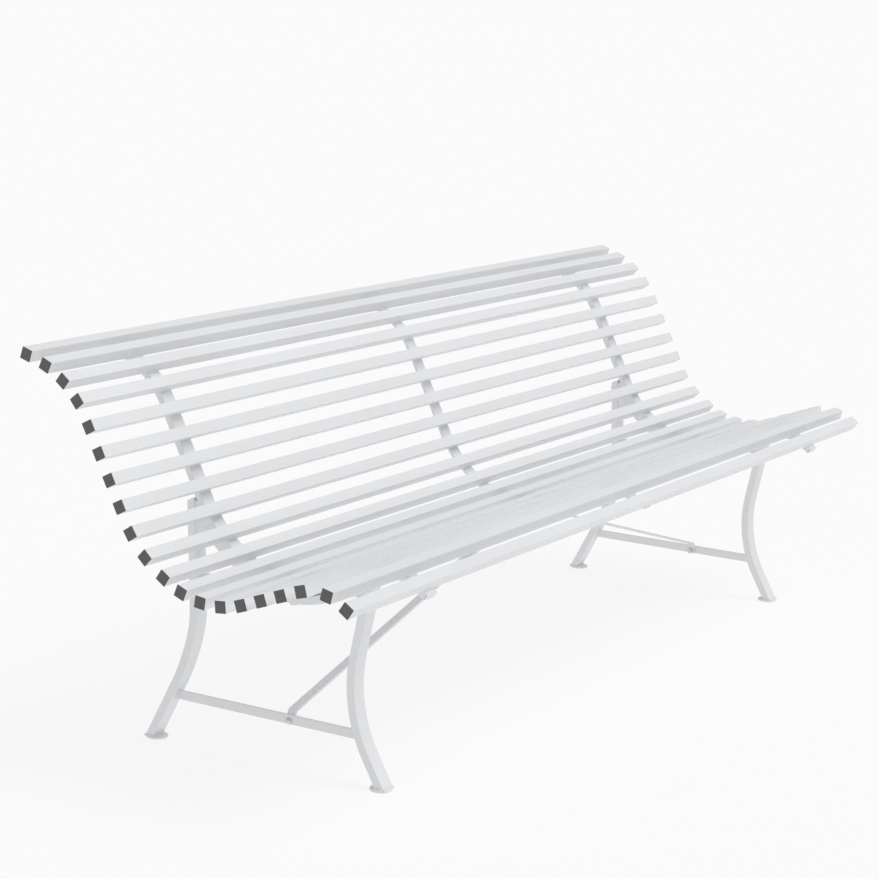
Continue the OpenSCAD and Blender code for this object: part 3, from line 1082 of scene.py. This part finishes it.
@dataclass
class EndFrame:
    """One end's two bent legs, seat bearer, stretcher, feet and fixings."""

    shop: PaintShop
    profile: SeatProfile
    side: Side
    rail_x: float = 766 * MM
    tube: Section = Section(30 * MM, 15 * MM, 1.4 * MM, 4)
    stretcher: Section = Section(5 * MM, 16 * MM, 0.8 * MM, 3)
    rail_far: float = 22 * MM
    stand_off: float = 4.5 * MM
    rear_top_back: float = 206 * MM
    rear_top_height: float = 430 * MM
    rear_lean: float = 2.8
    rear_splay: float = 27.0
    front_lean: float = 11.0
    front_waist: float = 120.5 * MM
    waist_height: float = 174 * MM
    front_radius: float = 240 * MM
    front_splay: float = 30.5
    front_upper: float = 190 * MM
    bearer_reach: float = 680.5 * MM
    stretcher_height: float = 84 * MM
    foot_radius: float = 19 * MM
    foot_thick: float = 4 * MM
    foot_in: float = 8 * MM
    bolt_flat: float = 13 * MM
    bolt_head: float = 5.3 * MM
    bolt_radius: float = 4 * MM
    weld: float = 2.0 * MM
    rear_upper: float = 196 * MM
    rear_radii: tuple[float, float] = (180 * MM, 384 * MM)
    lower_run: float = 160 * MM
    rear_slat: int = 7
    rear_share: float = 0.3
    rear_begin: float = 12 * MM
    front_begin: float = 60 * MM
    edge: float = 0.8 * MM
    bearer_short: float = 8 * MM
    seat_bolt_slats: tuple[int, int] = (13, 16)
    seat_bolt_reach: float = 29 * MM
    back_bolt_drop: float = 15 * MM
    back_bolt_reach: float = 21 * MM
    rear: BentLine = field(init=False)
    front: BentLine = field(init=False)

    def __post_init__(self) -> None:
        """Lays out the two legs' centre lines."""
        low = self.profile.lowest
        turn = (self.rear_lean + self.rear_splay) / 2
        rear_slope = math.radians(90 - self.rear_lean)
        self.rear = BentLine(
            Place(low.u + self.rear_top_back, self.rear_top_height + 10 * MM, rear_slope),
            (
                Run(self.rear_upper),
                *(Run.arc(radius, turn) for radius in self.rear_radii),
                Run(self.lower_run),
            ),
        )
        lean = math.radians(self.front_lean)
        waist = low.u - self.front_waist - self.front_radius * (1 - math.cos(lean))
        height = self.waist_height + self.front_radius * math.sin(lean) + self.front_upper * math.cos(lean)
        self.front = BentLine(
            Place(waist - self.front_upper * math.sin(lean), height, math.radians(90 + self.front_lean)),
            (
                Run(self.front_upper),
                Run.arc(self.front_radius, -(self.front_lean + self.front_splay)),
                Run(self.lower_run),
            ),
        )

    @property
    def x(self) -> float:
        """The frame's middle plane."""
        return self.side.value * self.rail_x

    def _dress(self, shaper: Shaper, piece: str, node: str) -> None:
        """Paints one of this side's pieces, which stands for one node of the same side."""
        word = self.side.word
        self.shop.dress(shaper, f"{piece}_{word}", Slot.COATED_STEEL, [f"{node}_{word}"])

    def _stand(self, place: Place, off: float = 0.0) -> Ring:
        """Makes a ring stand in this frame's middle plane, beside a place."""
        return stand_on(place, off, self.x, DrawingPlane.END)

    @property
    def bearer_off(self) -> float:
        """Distance of the bearer's centre line below the slats' centres."""
        return self.rail_far + self.stand_off + self.tube.deep / 2

    @property
    def bearer_height(self) -> float:
        """Height of the bearer's level middle part."""
        return self.profile.lowest.w - self.bearer_off

    def build(self) -> None:
        """Builds every piece of the frame."""
        self._rear_leg()
        self._front_leg()
        self._bearer()
        self._stretcher()
        self._feet()
        self._welds()

    def _leg(self, line: BentLine, begin: float, top: Cut, soft: float) -> Shaper:
        """Sweeps a leg from its cut top to its foot disc."""
        ground = line.reach(self.foot_thick)
        marks = line.distances(begin, ground)
        stands = [self._stand(line.at(s)) for s in marks]
        level = Cut(Vector((0, 0, self.foot_thick - 0.2 * MM)), Vector((0, 0, 1)))
        shaper = Shaper()
        shaper.bar(self.tube, stands, soft, 0.0, top, level)
        return shaper

    def _rear_leg(self) -> None:
        """Builds the rear leg, cut square to the rail at its top."""
        behind = self.profile.slat_distance(self.rear_slat) + self.profile.back_pitch * self.rear_share
        summit = Vector((0, self.rear.start.u, self.rear_top_height))
        top = Cut(summit, self.profile.line.at(behind).backward)
        shaper = self._leg(self.rear, self.rear_begin, top, self.edge)
        self._dress(shaper, "back_leg", "rear_leg")

    def _front_leg(self) -> None:
        """Builds the front leg, cut to the rail's underside at its top."""
        place = self.profile.line.at(self.bearer_reach).shifted(self.rail_far)
        shaper = self._leg(self.front, self.front_begin, self._wall(place), 0.0)
        self._dress(shaper, "fore_leg", "front_leg")

    @staticmethod
    def _wall(place: Place) -> Cut:
        """Makes the flat cut along a leg's face at a place beside its line."""
        return Cut(place.spot, place.above)

    def _bearer(self) -> None:
        """Builds the seat bearer between the two legs."""
        line = self.profile.line
        height = self.bearer_height
        back = self.rear.beside(height).u - self.tube.deep / 2 + 0.6 * MM
        stands = [level_stand(self.x, back, height)]
        marks = line.distances(self.profile.lowest_distance, self.bearer_reach - self.bearer_short)
        stands += [self._stand(line.at(s), self.bearer_off) for s in marks]
        leg = self.front.beside(stands[-1].centre.z, self.tube.deep / 2 - 0.8 * MM)
        shaper = Shaper()
        shaper.bar(self.tube, stands, end_cut=self._wall(leg))
        self._dress(shaper, "bearer", "seat_bearer")

    def _stretcher(self) -> None:
        """Builds the flat bar between the legs near the ground."""
        ends = []
        cuts = []
        for line, way in ((self.rear, -1), (self.front, 1)):
            place = line.beside(self.stretcher_height, way * (self.tube.deep / 2 - 0.5 * MM))
            ends.append(place.u)
            cuts.append(self._wall(place))
        marks = (ends[0], (ends[0] + ends[1]) / 2, ends[1])
        stands = [level_stand(self.x, y, self.stretcher_height) for y in marks]
        shaper = Shaper()
        shaper.bar(self.stretcher, stands, start_cut=cuts[0], end_cut=cuts[1])
        self._dress(shaper, "tie_bar", "stretcher")

    def _foot_places(self) -> dict[str, float]:
        """Gives the Y of the rear and the front foot disc."""
        return {
            "rear": self.rear.beside(0.0).u - self.foot_in,
            "front": self.front.beside(0.0).u + self.foot_in,
        }

    def _feet(self) -> None:
        """Builds the two foot discs."""
        radius, thick = self.foot_radius, self.foot_thick
        for end, y in self._foot_places().items():
            shaper = Shaper()
            shaper.turned(
                [
                    (AXIS, 0.0),
                    (radius - 1.1 * MM, 0.0),
                    (radius - 0.35 * MM, 0.3 * MM),
                    (radius, 1.1 * MM),
                    (radius, thick - 1.3 * MM),
                    (radius - 0.4 * MM, thick - 0.4 * MM),
                    (radius - 1.3 * MM, thick),
                    (AXIS, thick),
                ],
                Matrix.Translation((self.x, y, 0.0)),
                64,
            )
            self._dress(shaper, f"floor_pad_{end}", f"foot_disc_{end}")

    def _loop(self, stand: Ring, cut: Cut, along: Vector, grow: float) -> list[Vector]:
        """Gives a closed loop round a tube where a flat cut meets it."""
        points = cut.slide(stand.points(self.tube.outline(-grow)), along)
        return [*points, points[0]]

    def _welds(self) -> None:
        """Lays the beads round the legs' feet, the bearer's ends and the stretcher's ends."""
        shaper = Shaper()
        floor = Cut(Vector((0, 0, self.foot_thick)), Vector((0, 0, 1)))
        for line in (self.rear, self.front):
            place = line.beside(self.foot_thick)
            stand = self._stand(place)
            shaper.bead(self._loop(stand, floor, place.backward, 0.3 * MM), self.weld)
        half = self.tube.deep / 2
        back = self.rear.beside(self.bearer_height, -half)
        stand = level_stand(self.x, back.u, self.bearer_height)
        shaper.bead(self._loop(stand, self._wall(back), Vector((0, 1, 0)), 0.2 * MM), self.weld * 0.8)
        place = self.profile.line.at(self.bearer_reach - 2 * self.bearer_short)
        stand = self._stand(place, self.bearer_off)
        wall = self._wall(self.front.beside(stand.centre.z, half))
        shaper.bead(self._loop(stand, wall, -place.backward, 0.2 * MM), self.weld * 0.8)
        for line, way in ((self.rear, -1), (self.front, 1)):
            for side in (-1, 1):
                beads = []
                for rise in (-7.4 * MM, 7.4 * MM):
                    spot = line.beside(self.stretcher_height + rise, way * half)
                    beads.append(Vector((self.x + side * 2.6 * MM, spot.u, spot.w)))
                shaper.bead(beads, self.weld * 0.75)
        self.shop.dress(shaper, f"frame_welds_{self.side.word}", Slot.COATED_STEEL)

    def _bolt(self, shaper: Shaper, head: Vector, axis: Vector, reach: float) -> None:
        """Adds a hexagon bolt; the axis points from the head into the work."""
        stand = axis_stand(head, -axis)
        radius, sunk = self.bolt_radius, 0.2 * MM
        shaper.hexagon(self.bolt_flat, self.bolt_head, stand)
        shank = [(AXIS, sunk), (radius - 0.1 * MM, sunk), (radius, 0.0), (radius, -reach), (AXIS, -reach)]
        shaper.turned(shank, stand, 32)

    def seat_bolt_stands(self) -> list[tuple[Vector, Vector]]:
        """Gives the head position and the axis of each bolt under the bearer."""
        found = []
        for index in self.seat_bolt_slats:
            distance = self.profile.slat_distance(index) - self.profile.seat_pitch / 2
            place = self.profile.line.at(distance)
            ring = self._stand(place, self.bearer_off + self.tube.deep / 2)
            found.append((ring.centre, ring.up))
        return found

    def back_bolt_stand(self) -> tuple[Vector, Vector]:
        """Gives the head position and the axis of the bolt through the rear leg's top."""
        place = self.rear.beside(self.rear_top_height - self.back_bolt_drop)
        ring = self._stand(place, self.tube.deep / 2)
        return ring.centre, ring.up

    def add_seat_bolts(self, shaper: Shaper) -> None:
        """Adds this end's two seat bolts to a shared shape."""
        for head, axis in self.seat_bolt_stands():
            self._bolt(shaper, head, axis, self.seat_bolt_reach)

    def add_back_bolt(self, shaper: Shaper) -> None:
        """Adds this end's back bolt to a shared shape."""
        head, axis = self.back_bolt_stand()
        self._bolt(shaper, head, axis, self.back_bolt_reach)


@dataclass
class BraceSet:
    """Two bent flat braces from the stretchers up to the middle rail, and their bolts."""

    shop: PaintShop
    profile: SeatProfile
    flat: Section = Section(16 * MM, 5 * MM, 0.8 * MM, 3)
    stretcher_x: float = 766 * MM
    stretcher_thick: float = 5 * MM
    bolt_height: float = 81.5 * MM
    tab_low: float = 76.5 * MM
    corner_height: float = 96.5 * MM
    back: float = 5 * MM
    bend: float = 9.5 * MM
    lead: float = 16 * MM
    under_rail: float = 15 * MM
    head_radius: float = 6 * MM
    head_height: float = 4 * MM
    shank_radius: float = 3 * MM
    nut_flat: float = 10.4 * MM
    nut_height: float = 5 * MM
    nut_bore: float = 2.6 * MM
    tab_past: float = 15 * MM
    tab_run: float = 0.2
    side_reach: float = 17 * MM
    middle_reach: float = 22 * MM
    head_above: float = 5.2 * MM

    @property
    def tab_x(self) -> float:
        """Distance from the middle of the bench to the centre of a brace's lower tab."""
        return self.stretcher_x - self.stretcher_thick / 2 - self.flat.deep / 2

    @property
    def y(self) -> float:
        """The braces' middle plane."""
        return self.profile.lowest.u + self.back

    def build(self) -> None:
        """Builds both braces and all their fixings."""
        self._brace(Side.LEFT, self.flat.deep)
        self._brace(Side.RIGHT, 0.0)
        self._stretcher_fixings()
        self._middle_fixings()

    def _line(self, drop: float) -> BentLine:
        """Gives a brace's centre line, from the middle of the bench outwards."""
        top = self.profile.lowest.w - self.under_rail - self.flat.deep / 2 - drop
        slope = math.degrees(math.atan2(top - self.corner_height, self.tab_x - self.lead))
        sloped = (self.tab_x - self.lead - self.bend) / math.cos(math.radians(slope))
        return BentLine(
            Place(0.0, top, 0.0),
            (
                Run(self.lead),
                Run.arc(self.bend, slope),
                Run(sloped),
                Run.arc(self.bend, 90 - slope),
                Run(self.tab_run),
            ),
        )

    def _brace(self, side: Side, drop: float) -> None:
        """Builds one brace; a drop puts its upper tab below the other's."""
        line = self._line(drop)
        end = line.reach(self.tab_low, 1.0)
        stands = [
            stand_on(line.at(s), 0.0, self.y, DrawingPlane.FRONT, -side.value)
            for s in line.distances(-self.tab_past, end, math.radians(5))
        ]
        shaper = Shaper()
        shaper.bar(self.flat, stands, 0.7 * MM, 0.7 * MM)
        self.shop.dress(shaper, f"cross_brace_{side.word}", Slot.COATED_STEEL, [f"brace_{side.word}"])

    def _dome(self, shaper: Shaper, stand: Matrix) -> None:
        """Adds a domed bolt head, standing on the stand's XY plane."""
        steps = 7
        rim = 0.6 * MM
        profile = [(AXIS, 0.0), (self.head_radius, 0.0)]
        for i in range(steps + 1):
            angle = math.pi / 2 * i / steps
            height = rim + (self.head_height - rim) * math.sin(angle)
            profile.append((max(self.head_radius * math.cos(angle), AXIS), height))
        shaper.turned(profile, stand, 40)

    def _shank(self, shaper: Shaper, stand: Matrix, reach: float) -> None:
        """Adds a shank that runs down from the stand's XY plane, with a bevelled tip."""
        radius, tip, sunk = self.shank_radius, 0.7 * MM, 0.2 * MM
        bevel = [(radius, tip - reach), (radius - tip, -reach)]
        shank = [(AXIS, sunk), (radius, sunk), *bevel, (AXIS, -reach)]
        shaper.turned(shank, stand, 32)

    def _stretcher_fixings(self) -> None:
        """Builds the domed bolts through the stretchers and their nuts."""
        bolts = Shaper()
        nuts = Shaper()
        for side in Side:
            out = Vector((side.value, 0, 0))
            outer = side.value * (self.stretcher_x + self.stretcher_thick / 2)
            face = Vector((outer, self.y, self.bolt_height))
            self._dome(bolts, axis_stand(face, out))
            self._shank(bolts, axis_stand(face, out), self.side_reach)
            inner = Vector((side.value * (self.tab_x - self.flat.deep / 2), self.y, self.bolt_height))
            nuts.hexagon(self.nut_flat, self.nut_height, axis_stand(inner, -out), self.nut_bore)
        self.shop.dress(bolts, "tie_bar_bolts", Slot.BOLT_STEEL, ["stretcher_bolts"])
        self.shop.dress(nuts, "tie_bar_nuts", Slot.BOLT_STEEL, ["stretcher_nuts"])

    def _middle_fixings(self) -> None:
        """Builds the bolt and nut that clamp both braces under the middle rail."""
        low = self.profile.lowest
        top = Vector((0, self.y, low.w - self.under_rail + self.head_above))
        up = Vector((0, 0, 1))
        bolt = Shaper()
        self._dome(bolt, axis_stand(top, up))
        self._shank(bolt, axis_stand(top, up), self.middle_reach)
        self.shop.dress(bolt, "middle_bolt", Slot.BOLT_STEEL, ["centre_bolt"])
        nut = Shaper()
        under = Vector((0, self.y, low.w - self.under_rail - 2 * self.flat.deep))
        nut.hexagon(self.nut_flat, self.nut_height, axis_stand(under, -up), self.nut_bore)
        self.shop.dress(nut, "middle_nut", Slot.BOLT_STEEL, ["centre_nut"])


@dataclass
class GardenBench:
    """The whole bench."""

    shop: PaintShop
    profile: SeatProfile = field(default_factory=SeatProfile)

    def build(self) -> None:
        """Builds the sub-assemblies in the order in which a maker would."""
        RailSet(self.shop, self.profile).build()
        SlatSet(self.shop, self.profile).build()
        ends = [EndFrame(self.shop, self.profile, side) for side in Side]
        for end in ends:
            end.build()
        self._shared_bolts(ends)
        BraceSet(self.shop, self.profile).build()
        self.shop.keep("seat_spacers", Slot.COATED_STEEL)
        self.shop.keep("back_blocks", Slot.COATED_STEEL)
        self.shop.keep("rivet_nuts", Slot.ZINC_STEEL, 0.2 * MM)

    def _shared_bolts(self, ends: Sequence[EndFrame]) -> None:
        """Builds the bolts that hold the frames to the rails."""
        seat = Shaper()
        back = Shaper()
        for end in ends:
            end.add_seat_bolts(seat)
            end.add_back_bolt(back)
        self.shop.dress(seat, "bearer_bolts", Slot.BOLT_STEEL, ["seat_bolts"])
        self.shop.dress(back, "leg_top_bolts", Slot.BOLT_STEEL, ["back_bolts"])


# --- Studio ---


@dataclass(frozen=True)
class Studio:
    """Pale floor, soft light from above and a long-lens camera at the bench's near end."""

    camera_place: tuple[float, float, float] = (-4.0511, -2.28591, 1.3451)
    camera_right: tuple[float, float, float] = (0.51855809, -0.85426081, 0.03655095)
    camera_down: tuple[float, float, float] = (-0.14681293, -0.13106902, -0.98044218)
    camera_forward: tuple[float, float, float] = (0.84234403, 0.50305007, -0.19338343)
    lens: float = 102.47
    floor_radius: float = 260.0
    sky: float = 0.6
    lamp: float = 1.27
    lamp_from: tuple[float, float, float] = (0.25, -0.52, 0.95)
    lamp_spread: float = 40.0
    lamp_distance: float = 5.0
    sky_colour: tuple[float, float, float] = (0.985, 0.99, 1.0)
    film_width: float = 36.0
    view_end: float = 1000.0
    floor_steps: int = 96
    floor_rings: tuple[float, ...] = (0.5, 2.0, 8.0, 40.0)

    def build(self) -> None:
        """Sets up the floor, the light and the camera."""
        self._floor()
        self._light()
        self._camera()

    def _floor(self) -> None:
        """Lays a large round floor."""
        shaper = Shaper()
        sweep = [2 * math.pi * i / self.floor_steps for i in range(self.floor_steps)]
        radii = (*self.floor_rings, self.floor_radius)
        rings = [[around(radius, a, 0.0) for a in sweep] for radius in radii]
        shaper.loft(list(reversed(rings)), close_start=False)
        floor = shaper.finished("studio_floor")
        floor.modifiers.clear()
        floor.data.materials.append(PaleGround().material())
        floor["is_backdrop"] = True

    def _light(self) -> None:
        """Adds an even sky and one very soft lamp."""
        world = bpy.data.worlds.new("studio_sky")
        bpy.context.scene.world = world
        world.use_nodes = True
        backdrop = world.node_tree.nodes["Background"]
        backdrop.inputs["Color"].default_value = (*self.sky_colour, 1.0)
        backdrop.inputs["Strength"].default_value = self.sky
        data = bpy.data.lights.new("soft_lamp", "SUN")
        data.energy = self.lamp
        data.angle = math.radians(self.lamp_spread)
        lamp = bpy.data.objects.new("soft_lamp", data)
        lamp.rotation_euler = Vector(self.lamp_from).to_track_quat("Z", "Y").to_euler()
        lamp.location = Vector(self.lamp_from) * self.lamp_distance
        bpy.context.scene.collection.objects.link(lamp)
        bpy.context.scene.view_settings.view_transform = "Standard"

    def _camera(self) -> None:
        """Adds the camera."""
        data = bpy.data.cameras.new("camera")
        data.lens = self.lens
        data.sensor_width = self.film_width
        data.clip_end = self.view_end
        camera = bpy.data.objects.new("camera", data)
        right = Vector(self.camera_right)
        up = -Vector(self.camera_down)
        back = -Vector(self.camera_forward)
        turn = Matrix((right, up, back)).transposed().to_4x4()
        camera.matrix_world = Matrix.Translation(Vector(self.camera_place)) @ turn
        bpy.context.scene.collection.objects.link(camera)
        bpy.context.scene.camera = camera


def plain_box() -> list[list[float]]:
    """Gives the shown object's box as plain lists of numbers."""
    return [[float(value) for value in corner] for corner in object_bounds()]


def main() -> None:
    """Builds the studio and the bench."""
    logging.basicConfig(level=logging.INFO, format="%(message)s")
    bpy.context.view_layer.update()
    Studio().build()
    shop = PaintShop()
    GardenBench(shop).build()
    visual_box = plain_box()
    log.info("%d pieces, box %s", shop.count, visual_box)


if __name__ == "__main__":
    main()
